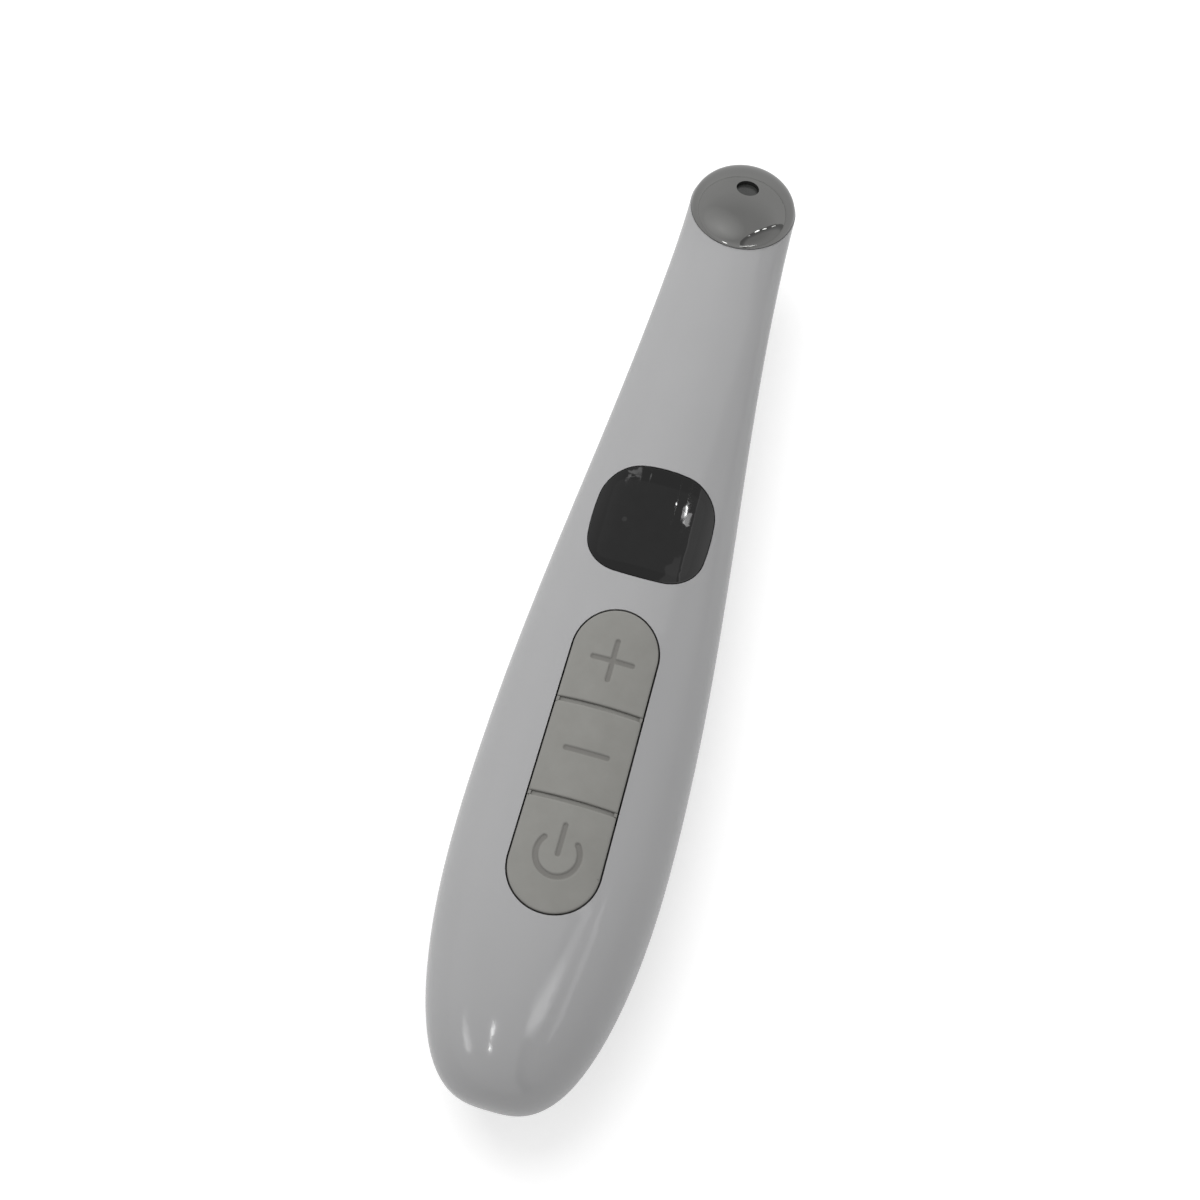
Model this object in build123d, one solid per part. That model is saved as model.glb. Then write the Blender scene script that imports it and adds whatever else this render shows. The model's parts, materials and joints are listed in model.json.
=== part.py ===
from build123d import *
import os
from math import atan2, cos, hypot, pi, radians, sin, tan

# A slim facial cleansing wand: a rounded handle with three keys and a small display, a long neck
# and an oblique vibrating metal cap.
# Frame: +Y runs from the tail to the head, +Z out of the key face, X across.
# The origin is on the surface that the belly rests on, under the middle of the length.
# Distances called "from tail" are measured along Y from the tail tip.

# Outer form of the handle and neck
length = 175.0
handle_width = 37.1
handle_width_from_tail = 44.0
neck_width = 19.6
neck_thickness = 13.5
neck_settles_before_head = 5.0
front_height = 30.5
front_height_from_tail = 60.0
front_fall = radians(2.0)
widest_height_at_tail = 14.5
widest_rise = 0.04
belly_flat_depth = 0.4
back_rises_from_tail = 80.0
tail_side_fullness = 0.345
tail_face_fullness = 0.42
tail_turns = (5, 12, 25, 40, 57, 75)
wall = 2.2

# Oblique head and its metal cap
cap_tilt = radians(24.0)
cap_width = 19.3
cap_length = 22.8
cap_rise = 4.9
cap_inset = 0.18
turn_from_tail = 108.0
heel_length = 25.0
heel_lead = 11.0
heel_rise = 6.0
cap_rim_wall = 1.6
cap_skirt = 3.2
cap_skirt_wall = 0.9
cap_roof = 1.6
cap_hole = 4.1
hole_bevel = 0.35
guide_recess = 0.8
guide_foot_diameter = 6.4
guide_foot = 0.6
transducer_diameter = 12.0
transducer_bore = 5.0
transducer_thickness = 1.2
seal_top = 1.0
seal_height = 1.2
seal_depth = 0.45
head_board_thickness = 1.0
lamp_size = (1.6, 1.6, 0.7)
contact_diameter = 0.8
contact_offset = 4.4
head_lead_offset = 3.8

# Key field
keys_from_tail = 31.4
key_field_length = 52.1
key_field_width_low = 15.3
key_field_width_high = 14.5
power_key_from_tail = 40.85
minus_key_from_tail = 58.45
plus_key_from_tail = 74.55
low_groove_from_tail = 49.9
high_groove_from_tail = 66.4
groove_width = 0.75
groove_depth = 0.4
groove_web = 0.5
groove_web_depth = 0.05
key_gap = 0.28
key_proud = 0.2
key_edge_radius = 0.3
key_ledge_depth = 4.6
key_flange = 0.8
key_flange_thickness = 0.8
key_shell = 1.5
key_roof_depth = 2.5
key_post_diameter = 4.6
key_shoulder_depth = 2.2
key_travel = 0.25
collar_wall = 1.6
rib_width = 1.6
rib_clearance = 0.2
ridge_clearance = 0.05
mat_thickness = 1.0
mat_window_gap = 0.25

# Switches and main board
switch_side = 6.0
switch_height = 3.5
stem_diameter = 3.5
stem_rise = 0.8
stem_length = 1.9
board_thickness = 1.2
board_from_tail = 26.5
board_length = 91.5
board_width = 22.8
board_head_width = 19.2
board_taper_length = 26.0
board_corner = 2.5
boss_diameter = 4.4
screw_diameter = 2.0
screw_head_diameter = 3.6
screw_head_height = 1.3
screw_grip = 4.0
low_boss_from_tail = 29.8
low_boss_spread = 16.4
high_boss_from_tail = 114.4
high_boss_spread = 13.0

# Display
lens_from_tail = 100.0
lens_width = 20.7
lens_length = 20.0
lens_bow = 1.1
lens_corner = 6.8
lens_thickness = 1.2
lens_edge_radius = 0.25
lens_gap = 0.12
lens_ledge = 1.3
panel_width = 14.0
panel_length = 13.0
panel_thickness = 1.4
panel_depth = 3.4
gasket_width = 1.2
holder_wall = 1.2
pin_diameter = 0.6
pin_count = 6
pin_pitch = 1.5

# Battery
cell_diameter = 14.2
cell_length = 50.0
cell_from_tail = 30.0
cell_floor_gap = 1.3
cell_edge_radius = 0.6
cradle_thickness = 1.6
cradle_inset = 7.0
foam_width = 10.0
foam_length = 34.0

# Charging port on the underside of the tail
port_tilt = radians(38.0)
port_from_tail = 1.5
port_width = 8.94
port_height = 3.26
port_depth = 7.3
port_wall = 0.35
port_gap = 0.15
port_sunk = 0.6
port_back = 0.8
tongue_width = 6.7
tongue_thickness = 0.7
tongue_length = 5.0
charge_board_width = 11.0
charge_board_length = 9.5
charge_board_thickness = 1.0
charge_board_sunk = 4.2
charge_post_diameter = 3.4
charge_post_spread = 6.8
charge_post_depth = 11.0
charge_screw_diameter = 1.4
charge_screw_grip = 3.0

# Board parts
coil_diameter = 9.0
coil_height = 5.0
coil_flange = 1.0
coil_core_diameter = 7.2
coil_from_tail = 92.0
chip_side = 7.0
chip_height = 0.9
chip_from_tail = 104.0
crystal = (3.2, 2.5, 0.8)
crystal_from_tail = 78.0
capacitor = (1.25, 2.0, 0.9)
capacitor_count = 4
capacitor_pitch = 3.0
capacitor_rows_from_tail = (98.4, 109.6)
connector = (6.0, 4.5, 3.2)
connector_from_tail = 115.0
wire_diameter = 0.9
wire_spread = 2.4
lead_reach = 5.0
neck_lead_run = 14.0
bend_share = 0.45

# Fits
fit_gap = 0.05
slide_gap = 0.06
lip_height = 1.2
lip_inset = 1.25
lip_gap = 0.1
parting_drop = 0.6
seam_gap = 0.14
bead_rise = 0.35
bead_low = 0.45
bead_high = 0.85
bead_length = 5.0
beads_from_tail = (22.0, 60.0, 98.0, 134.0)

CENTRE = (Align.CENTER, Align.CENTER, Align.CENTER)
UP = (Align.CENTER, Align.CENTER, Align.MIN)
DOWN = (Align.CENTER, Align.CENTER, Align.MAX)


def along(from_tail):
    """Y of a place given by its distance from the tail tip."""
    return from_tail - length / 2


def blend(start, end, share):
    """Smooth step from start to end."""
    share = min(max(share, 0.0), 1.0)
    return start + (end - start) * (1 - cos(pi * share)) / 2


def front_z(from_tail):
    """Height of the straight front line, which falls towards the head."""
    return front_height - tan(front_fall) * (from_tail - front_height_from_tail)


def widest_z(from_tail):
    """Height at which the handle is widest."""
    return widest_height_at_tail + widest_rise * from_tail


# Places on the head, in the plane of symmetry, as distance from the tail and height
rim_from_tail = length - hypot((cap_length / 2 - cap_inset) * cos(cap_tilt), cap_rise * sin(cap_tilt))
near_rim_from_tail = rim_from_tail - cap_length / 2 * cos(cap_tilt)
rim_z = front_z(near_rim_from_tail) - cap_length / 2 * sin(cap_tilt)
far_rim = Vector(rim_from_tail + cap_length / 2 * cos(cap_tilt), rim_z - cap_length / 2 * sin(cap_tilt))
heel_from_tail = length - heel_length
neck_back_z = front_z(heel_from_tail) - neck_thickness


def half_width(from_tail):
    """Half of the width of the handle and neck, before the tail is rounded off."""
    run = length - neck_settles_before_head - handle_width_from_tail
    return blend(handle_width, neck_width, (from_tail - handle_width_from_tail) / run) / 2


def back_z(from_tail):
    """Height of the belly and of the back of the neck."""
    run = heel_from_tail - back_rises_from_tail
    return blend(-belly_flat_depth, neck_back_z, (from_tail - back_rises_from_tail) / run)


def back_point(share):
    """Place on the back line of the turned sections, from where they start to the rim's far side."""
    heel = Bezier((heel_from_tail, neck_back_z), (heel_from_tail + heel_lead, neck_back_z),
                  (far_rim.X - heel_rise * sin(cap_tilt), far_rim.Y - heel_rise * cos(cap_tilt)),
                  (far_rim.X, far_rim.Y))
    run = heel_from_tail - turn_from_tail
    walked = share * (run + heel.length)
    if walked < run:
        return Vector(turn_from_tail + walked, back_z(turn_from_tail + walked))
    return heel @ ((walked - run) / heel.length)


def oval(half_across, front, back):
    """Oval of a half ellipse in front of its widest line and two quarters behind it."""
    rim = [EllipticalCenterArc((0, 0), half_across, front, 0, arc_size=180),
           EllipticalCenterArc((0, 0), half_across, back, 180, arc_size=90),
           EllipticalCenterArc((0, 0), half_across, back, 270, arc_size=90)]
    return make_face(rim)


def section_plane(from_tail, height, turn):
    """Plane across the body, turned about X so that its lower end runs towards the head."""
    return Plane(origin=(0, along(from_tail), height), x_dir=(1, 0, 0),
                 z_dir=(0, -cos(turn), -sin(turn)))


def handle_section(from_tail, inset):
    """Upright section of the handle, set in by a wall."""
    rest = max(handle_width_from_tail - from_tail, 0.0) / (handle_width_from_tail - inset)
    side = (1 - rest ** 2) ** tail_side_fullness
    face = (1 - rest ** 2) ** tail_face_fullness
    centre = widest_z(from_tail)
    section = oval((half_width(from_tail) - inset) * side,
                   (front_z(from_tail) - centre - inset) * face,
                   (centre - back_z(from_tail) - inset) * face)
    return section_plane(from_tail, centre, 0).location * section


def head_section(share, inset):
    """Section of the neck and head, which turns with the share until it lies in the rim's plane."""
    near_from_tail = turn_from_tail + (near_rim_from_tail - turn_from_tail) * share
    near = Vector(near_from_tail, front_z(near_from_tail))
    far = back_point(share)
    across = far - near
    turn = atan2(across.X, -across.Y)
    near_inset = inset / cos(turn + front_fall)
    depth = across.length - near_inset - inset
    first_share = (front_z(turn_from_tail) - widest_z(turn_from_tail)) \
        / (front_z(turn_from_tail) - back_z(turn_from_tail))
    front_share = first_share + (0.5 - first_share) * share
    widest = near + across.normalized() * (near_inset + front_share * depth)
    middle_from_tail = (near.X + far.X) / 2
    half = half_width(middle_from_tail) + (cap_width / 2 - half_width(rim_from_tail)) * share
    section = oval(half - inset, front_share * depth, (1 - front_share) * depth)
    return section_plane(widest.X, widest.Y, turn).location * section


def body(inset=0.0):
    """Solid inside the outer surface, set in by a wall."""
    handle_steps, head_steps = 5, 7
    sections = [Vertex(0, along(inset), widest_z(inset))]
    for turn in tail_turns:
        from_tail = inset + (handle_width_from_tail - inset) * (1 - cos(radians(turn)))
        sections.append(handle_section(from_tail, inset))
    for step in range(handle_steps):
        run = turn_from_tail - handle_width_from_tail
        sections.append(handle_section(handle_width_from_tail + run * step / handle_steps, inset))
    for step in range(head_steps + 1):
        sections.append(head_section(step / head_steps, inset))
    return loft(sections)


# Working planes: the deck lies on the front line, the rim where the metal cap meets the housings
deck = Plane(origin=(0, along(front_height_from_tail), front_height), x_dir=(1, 0, 0),
             z_dir=(0, sin(front_fall), cos(front_fall)))
rim = Plane(origin=(0, along(rim_from_tail), rim_z), x_dir=(1, 0, 0),
            z_dir=(0, sin(cap_tilt), cos(cap_tilt)))
port_z = widest_z(port_from_tail) - (widest_z(port_from_tail) - back_z(port_from_tail)) \
    * (1 - (1 - port_from_tail / handle_width_from_tail) ** 2) ** tail_face_fullness
port = Plane(origin=(0, along(port_from_tail), port_z), x_dir=(1, 0, 0),
             z_dir=(0, -cos(port_tilt), -sin(port_tilt)))
parting = Plane(origin=(0, along(0), widest_z(0) - parting_drop), x_dir=(1, 0, 0),
                z_dir=(0, -widest_rise, 1))

# Depths below the front line, from the keys down to the board
key_bottom = key_ledge_depth + fit_gap + key_flange_thickness
switch_top = key_bottom + stem_rise
board_top = switch_top + switch_height
board_bottom = board_top + board_thickness
above = -3.0
far_off = 2 * length

cell_z = wall - belly_flat_depth + cell_floor_gap + cell_diameter / 2
cell_end_from_tail = cell_from_tail + cell_length
key_places = {"power": power_key_from_tail, "minus": minus_key_from_tail, "plus": plus_key_from_tail}
key_bands = {"power": (0.0, low_groove_from_tail),
             "minus": (low_groove_from_tail, high_groove_from_tail),
             "plus": (high_groove_from_tail, length)}
boss_places = [(side * spread / 2, from_tail)
               for spread, from_tail in ((low_boss_spread, low_boss_from_tail),
                                         (high_boss_spread, high_boss_from_tail))
               for side in (-1, 1)]


def deck_y(from_tail):
    """Place along the deck of a distance from the tail."""
    return (from_tail - front_height_from_tail) / cos(front_fall)


def on_deck(from_tail, depth=0.0, across=0.0):
    """Location on or below the deck."""
    return deck.location * Pos(across, deck_y(from_tail), -depth)


def deck_prism(face, top, bottom):
    """Prism square to the deck, between two depths."""
    return deck.location * Pos(0, 0, -bottom) * extrude(face, bottom - top)


def rim_prism(half_across, half_along, low, high):
    """Oval prism square to the rim, between two heights above it."""
    return rim.location * Pos(0, 0, low) * extrude(Ellipse(half_across, half_along), high - low)


def parting_slab(low, high):
    """Everything between two heights above the plane where the housings part."""
    return parting.location * Pos(0, 0, low) * Box(far_off, 2 * far_off, high - low, align=UP)


def band(low, high, gap):
    """Strip of the deck between two grooves, less half of a gap at each end."""
    middle = (deck_y(low) + deck_y(high)) / 2
    return Pos(0, middle) * Rectangle(far_off, deck_y(high) - deck_y(low) - gap)


def key_field(grow=0.0):
    """Outline of the key field: two end arcs of unlike size and their tangents."""
    low, high = key_field_width_low / 2, key_field_width_high / 2
    low_end = Pos(0, deck_y(keys_from_tail) + low) * Circle(low + grow)
    high_end = Pos(0, deck_y(keys_from_tail + key_field_length) - high) * Circle(high + grow)
    return make_hull(low_end.edges() + high_end.edges())


def lens_outline(grow=0.0):
    """Rounded square with bowed sides, on the deck."""
    half_x, half_y = lens_width / 2 + grow, lens_length / 2 + grow
    corner_x, corner_y = half_x - lens_bow, half_y - lens_bow
    sides = [ThreePointArc((corner_x, -corner_y), (half_x, 0), (corner_x, corner_y)),
             ThreePointArc((corner_x, corner_y), (0, half_y), (-corner_x, corner_y)),
             ThreePointArc((-corner_x, corner_y), (-half_x, 0), (-corner_x, -corner_y)),
             ThreePointArc((-corner_x, -corner_y), (0, -half_y), (corner_x, -corner_y))]
    outline = make_face(sides)
    return Pos(0, deck_y(lens_from_tail)) * fillet(outline.vertices(), lens_corner + grow)


def board_outline():
    """Main board: straight along the handle, then tapered towards the neck."""
    low = deck_y(board_from_tail)
    high = deck_y(board_from_tail + board_length)
    shoulder = high - board_taper_length
    wide, narrow = board_width / 2, board_head_width / 2
    outline = make_face(Polyline((-wide, low), (wide, low), (wide, shoulder), (narrow, high),
                                 (-narrow, high), (-wide, shoulder), close=True))
    ends = outline.vertices().sort_by(Axis.Y)
    return fillet([ends[0], ends[1], ends[-1], ends[-2]], board_corner)


def lead(points):
    """Insulated lead along straight runs, with the largest arcs that the runs allow."""
    places = [Vector(point) for point in points]
    radii = []
    for before, corner, after in zip(places, places[1:], places[2:]):
        arriving, leaving = corner - before, after - corner
        turn = radians(arriving.get_angle(leaving))
        radii.append(bend_share * min(arriving.length, leaving.length) / tan(turn / 2))
    route = FilletPolyline(*places, radius=radii)
    section = Plane(origin=places[0], z_dir=places[1] - places[0]) * Circle(wire_diameter / 2)
    return sweep(section, path=route)


outer = body()
cavity = body(wall)
middle_skin = body(wall / 2)
lens_seat = body(lens_thickness)
bore = rim_prism(cap_width / 2 - cap_rim_wall, cap_length / 2 - cap_rim_wall,
                 -cap_skirt - fit_gap, cap_rise)


def front_housing():
    """Front shell with the key opening in its collar, the lens seat and the board's bosses."""
    shell = (outer & parting_slab(seam_gap / 2, far_off)) - cavity
    collar = deck_prism(key_field(key_gap + collar_wall), above, key_ledge_depth)
    added = [collar & middle_skin]
    for across, from_tail in boss_places:
        boss = Cylinder(boss_diameter / 2, board_top, align=UP) \
            - Cylinder(screw_diameter / 2 + fit_gap / 2, screw_grip + fit_gap, align=UP)
        added.append((on_deck(from_tail, board_top, across) * boss) & middle_skin)
    shell += added
    rebate = body(lip_inset - lip_gap) & parting_slab(-lip_height, lip_height + lip_gap)
    return shell - [deck_prism(key_field(key_gap), above, key_ledge_depth + fit_gap),
                    deck_prism(lens_outline(lens_gap), above, board_top) - lens_seat,
                    deck_prism(lens_outline(-lens_ledge), above, board_top),
                    bore, rebate, snap_beads(lip_inset - lip_gap - bead_rise, lip_gap)]


def snap_beads(inset, grow):
    """Short raised stretches along both sides of the lip, or the pockets that they click into."""
    stretch = Box(far_off, bead_length + 2 * grow, far_off, align=CENTRE)
    stretches = Part() + [Pos(0, along(place), 0) * stretch for place in beads_from_tail]
    return body(inset) & parting_slab(bead_low - grow, bead_high + grow) & stretches


def charge_place(across, depth):
    """Location on the face of the charge board that carries the socket, looking away from the board."""
    return port.location * Pos(across, -port_height / 2, -depth) * Rot(-90, 0, 0)


def back_housing():
    """Back shell with its lip, the battery cradles, the charge board's posts and the port."""
    shell = outer & parting_slab(-far_off, -seam_gap / 2)
    shell += [body(lip_inset) & parting_slab(-lip_height, lip_height), snap_beads(lip_inset - bead_rise, 0)]
    shell -= cavity
    cell = Pos(0, along(cell_from_tail), cell_z) * Rot(-90, 0, 0) \
        * Cylinder(cell_diameter / 2 + fit_gap, far_off, align=CENTRE)
    added = []
    for place in (cell_from_tail + cradle_inset, cell_end_from_tail - cradle_inset):
        cradle = Pos(0, along(place), 0) * Box(handle_width, cradle_thickness, cell_z, align=UP)
        added.append((cradle & middle_skin) - cell)
    for side in (-1, 1):
        post = charge_place(side * charge_post_spread / 2, charge_post_depth) \
            * Pos(0, 0, -charge_board_thickness)
        column = Cylinder(charge_post_diameter / 2, handle_width / 2, align=DOWN) \
            - Cylinder(charge_screw_diameter / 2 + fit_gap / 2, charge_screw_grip + fit_gap, align=DOWN)
        added.append((post * column) & middle_skin)
    opening = extrude(SlotOverall(port_width + 2 * port_gap, port_height + 2 * port_gap),
                      port_depth + 2 * port_sunk + wall)
    rest = Box(far_off, far_off, far_off, align=DOWN)
    return shell + added - [port.location * Pos(0, 0, -port_sunk - port_depth) * opening, bore, rest]


def head_cap():
    """Metal cap: low oval dome with its bevelled hole, over a skirt with a groove for the seal."""
    half_x, half_y = cap_width / 2, cap_length / 2
    dome = scale(Sphere(1), by=(half_x - cap_inset, half_y - cap_inset, cap_rise)) \
        & Box(far_off, far_off, far_off, align=UP)
    cap = rim.location * dome
    skirt_x, skirt_y = half_x - cap_rim_wall - fit_gap, half_y - cap_rim_wall - fit_gap
    cap += rim_prism(skirt_x, skirt_y, -cap_skirt, cap_roof)
    cap -= rim_prism(skirt_x - cap_skirt_wall, skirt_y - cap_skirt_wall, -cap_skirt, cap_roof)
    cap -= rim.location * Cylinder(cap_hole / 2, far_off, align=CENTRE)
    cap -= rim.location * Pos(0, 0, cap_rise) * Cone(cap_hole / 2 - hole_bevel, cap_hole / 2 + hole_bevel,
                                                     2 * hole_bevel, align=CENTRE)
    groove = rim_prism(skirt_x + fit_gap, skirt_y + fit_gap, -seal_top - seal_height, -seal_top)
    groove -= rim_prism(skirt_x - seal_depth, skirt_y - seal_depth, -cap_skirt, 0)
    return cap - groove


def head_seal():
    """Soft ring in the groove of the cap's skirt."""
    half_x, half_y = cap_width / 2 - cap_rim_wall - fit_gap, cap_length / 2 - cap_rim_wall - fit_gap
    low, high = -seal_top - seal_height + fit_gap, -seal_top - fit_gap
    ring = rim_prism(half_x + fit_gap / 2, half_y + fit_gap / 2, low, high)
    return ring - rim_prism(half_x - seal_depth + fit_gap / 2, half_y - seal_depth + fit_gap / 2, low, high)


def transducer_ring():
    """Vibrating ceramic ring bonded under the roof of the cap."""
    ring = Cylinder(transducer_diameter / 2, transducer_thickness, align=DOWN) \
        - Cylinder(transducer_bore / 2, transducer_thickness, align=DOWN)
    return rim.location * Pos(0, 0, cap_roof) * ring


def light_guide():
    """Clear rod behind the hole, on a foot that sits under the ceramic ring."""
    foot_top = cap_roof - transducer_thickness
    rod = Pos(0, 0, foot_top) * Cylinder(cap_hole / 2 - fit_gap, cap_rise - guide_recess - foot_top, align=UP)
    foot = Pos(0, 0, foot_top) * Cylinder(guide_foot_diameter / 2, guide_foot, align=DOWN)
    return rim.location * (rod + foot)


def head_board():
    """Small board pressed into the end of the cap's skirt."""
    inside = cap_rim_wall + cap_skirt_wall + 2 * fit_gap
    return rim_prism(cap_width / 2 - inside, cap_length / 2 - inside, -cap_skirt,
                     head_board_thickness - cap_skirt)


def head_lamp():
    """Lamp chip on the head board, under the light guide."""
    return rim.location * Pos(0, 0, head_board_thickness - cap_skirt) * Box(*lamp_size, align=UP)


def transducer_contacts():
    """Two sprung pins from the head board to the ceramic ring."""
    low = head_board_thickness - cap_skirt
    pin = Cylinder(contact_diameter / 2, cap_roof - transducer_thickness - low, align=UP)
    return Compound([rim.location * Pos(side * contact_offset, 0, low) * pin for side in (-1, 1)])


def key(name):
    """Key cap: crowned top in line with the housing, stepped sides, a flange and a post."""
    low, high = key_bands[name]
    upper = key_field() & band(low, high, groove_width)
    lower_band = band(low, high, rib_width + 2 * rib_clearance)
    lower = key_field() & lower_band
    raised = Pos(deck.z_dir * key_proud) * outer
    cap = deck_prism(upper, above, key_shoulder_depth) & raised
    crown = cap.faces().sort_by(Axis.Z)[-1]
    cap = fillet(crown.edges(), key_edge_radius)
    cap += deck_prism(lower, key_shoulder_depth, key_bottom)
    cap += deck_prism(key_field(key_flange) & lower_band, key_ledge_depth + fit_gap, key_bottom)
    cap -= deck_prism(offset(lower, -key_shell), key_roof_depth, key_bottom)
    post = on_deck(key_places[name], key_bottom) \
        * Cylinder(key_post_diameter / 2, key_bottom - key_roof_depth, align=UP)
    return cap + post


def stem(name):
    """Switch stem that the key's post rests on."""
    return on_deck(key_places[name], key_bottom) * Cylinder(stem_diameter / 2, stem_length, align=DOWN)


def switch_bodies():
    """Three switch bodies on the board, each with a well for its stem."""
    well = stem_length - stem_rise + key_travel + fit_gap
    switch = Box(switch_side, switch_side, switch_height, align=DOWN) \
        - Cylinder(stem_diameter / 2 + slide_gap, well, align=DOWN)
    return Compound([on_deck(place, switch_top) * switch for place in key_places.values()])


def keypad_mat():
    """Soft mat on the board, with windows for the switches and a stepped rib under each groove."""
    mat_top = board_top - mat_thickness
    mat = deck_prism(key_field(), mat_top, board_top)
    for place in key_places.values():
        window = switch_side + 2 * mat_window_gap
        mat -= on_deck(place, board_top) * Box(window, window, mat_thickness, align=UP)
    sunk = Pos(deck.z_dir * -groove_depth) * outer
    raised = Pos(deck.z_dir * -groove_web_depth) * outer
    rib_top = key_shoulder_depth + key_travel + ridge_clearance
    for groove in (low_groove_from_tail, high_groove_from_tail):
        thick = Pos(0, deck_y(groove)) * Rectangle(far_off, rib_width)
        thin = Pos(0, deck_y(groove)) * Rectangle(far_off, groove_width - 2 * ridge_clearance)
        mat += deck_prism(key_field(-rib_clearance) & thick, rib_top, mat_top)
        mat += deck_prism(key_field() & thin, above, rib_top) & sunk
        mat += deck_prism((key_field() - key_field(-groove_web)) & thin, above, rib_top) & raised
    return mat


def main_board():
    """Main board with a hole for each screw."""
    board = deck_prism(board_outline(), board_top, board_bottom)
    for across, from_tail in boss_places:
        board -= on_deck(from_tail, board_bottom, across) \
            * Cylinder(screw_diameter / 2 + 2 * fit_gap, board_thickness, align=UP)
    return board


def board_screws():
    """Screws from under the board into the bosses."""
    screw = Cylinder(screw_diameter / 2, board_thickness + screw_grip, align=UP) \
        + Cylinder(screw_head_diameter / 2, screw_head_height, align=DOWN)
    return Compound([on_deck(from_tail, board_bottom, across) * screw for across, from_tail in boss_places])


def display_lens():
    """Dark window that carries on the curve of the housing, with a softened edge."""
    lens = deck_prism(lens_outline(), above, board_top) & outer
    face = lens.faces().sort_by(Axis.Z)[-1]
    return fillet(face.edges(), lens_edge_radius) - lens_seat


def panel_frame(wall_thickness, top, bottom):
    """Rectangular ring under the window."""
    face = Rectangle(panel_width, panel_length) \
        - Rectangle(panel_width - 2 * wall_thickness, panel_length - 2 * wall_thickness)
    return deck_prism(Pos(0, deck_y(lens_from_tail)) * face, top, bottom)


def display_gasket():
    """Foam ring between the window and the panel."""
    return panel_frame(gasket_width, above, panel_depth) & lens_seat


def display_panel():
    """Flat display module."""
    face = Pos(0, deck_y(lens_from_tail)) * Rectangle(panel_width, panel_length)
    return deck_prism(face, panel_depth, panel_depth + panel_thickness)


def display_holder():
    """Frame that carries the panel on the board."""
    return panel_frame(holder_wall, panel_depth + panel_thickness, board_top)


def display_pins():
    """Row of pins from the panel to the board."""
    top = panel_depth + panel_thickness
    place = lens_from_tail - panel_length / 2 + holder_wall + pin_diameter
    pin = Cylinder(pin_diameter / 2, board_top - top, align=UP)
    return Compound([on_deck(place, board_top, (step - (pin_count - 1) / 2) * pin_pitch) * pin
                     for step in range(pin_count)])


def battery_cell():
    """Round cell, lying along the handle in its cradles."""
    cell = Cylinder(cell_diameter / 2, cell_length, align=UP)
    cell = fillet(cell.edges(), cell_edge_radius)
    return Pos(0, along(cell_from_tail), cell_z) * Rot(-90, 0, 0) * cell


def battery_foam():
    """Foam pad between the cell and the board."""
    middle = cell_from_tail + cell_length / 2
    pad = deck_prism(Pos(0, deck_y(middle)) * Rectangle(foam_width, foam_length),
                     board_bottom, board_bottom + cell_diameter / 2)
    under = Pos(0, along(0), cell_z) * Box(far_off, 2 * far_off, far_off, align=DOWN)
    cell = Pos(0, along(cell_from_tail), cell_z) * Rot(-90, 0, 0) \
        * Cylinder(cell_diameter / 2, far_off, align=CENTRE)
    return pad - cell - under


def battery_leads():
    """Two leads from the cell's end up to the board."""
    leads = []
    for side in (-1, 1):
        top = on_deck(cell_end_from_tail + lead_reach, board_bottom, side * wire_spread / 2).position
        corner = top - deck.z_dir * ((top.Z - cell_z) / deck.z_dir.Z)
        start = Vector(corner.X, along(cell_end_from_tail), cell_z)
        leads.append(lead([start, corner, top]))
    return Compound(leads)


def head_leads():
    """Two leads from the connector along the neck to the head board."""
    leads = []
    for side in (-1, 1):
        across = side * wire_spread / 2
        end = rim.location * Pos(across, -head_lead_offset, -cap_skirt)
        below = end * Pos(0, 0, -lead_reach)
        start = on_deck(connector_from_tail + connector[1] / 2, board_top - connector[2] / 2, across)
        leads.append(lead([start.position, (start * Pos(0, neck_lead_run, 0)).position,
                           below.position, end.position]))
    return Compound(leads)


def charge_leads():
    """Two leads from the charge board to the main board."""
    leads = []
    for side in (-1, 1):
        across = side * wire_spread / 2
        start = port.location * Pos(across, -port_height / 2 - charge_board_thickness / 2,
                                    -charge_board_sunk - charge_board_length)
        end = on_deck(board_from_tail, board_top + board_thickness / 2, across)
        leads.append(lead([start.position, (start * Pos(0, 0, -lead_reach)).position,
                           (end * Pos(0, -lead_reach, 0)).position, end.position]))
    return Compound(leads)


def charge_socket():
    """Metal shell of the charging socket."""
    shell = extrude(SlotOverall(port_width, port_height), port_depth)
    inside = extrude(SlotOverall(port_width - 2 * port_wall, port_height - 2 * port_wall), port_depth)
    return port.location * Pos(0, 0, -port_sunk - port_depth) * (shell - Pos(0, 0, port_back) * inside)


def charge_tongue():
    """Contact tongue in the middle of the socket."""
    place = port.location * Pos(0, 0, -port_sunk - port_depth + port_back)
    return place * Box(tongue_width, tongue_thickness, tongue_length, align=UP)


def charge_board():
    """Small board that carries the socket."""
    board = charge_place(0, charge_board_sunk) \
        * Box(charge_board_width, charge_board_length, charge_board_thickness,
              align=(Align.CENTER, Align.MIN, Align.MAX))
    for side in (-1, 1):
        board -= charge_place(side * charge_post_spread / 2, charge_post_depth) \
            * Cylinder(charge_screw_diameter / 2 + 2 * fit_gap, charge_board_thickness, align=DOWN)
    return board


def charge_screws():
    """Screws through the charge board into its posts."""
    screw = Cylinder(charge_screw_diameter / 2, charge_board_thickness + charge_screw_grip, align=DOWN) \
        + Cylinder(charge_screw_diameter, charge_screw_diameter / 2, align=UP)
    return Compound([charge_place(side * charge_post_spread / 2, charge_post_depth) * screw
                     for side in (-1, 1)])


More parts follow.
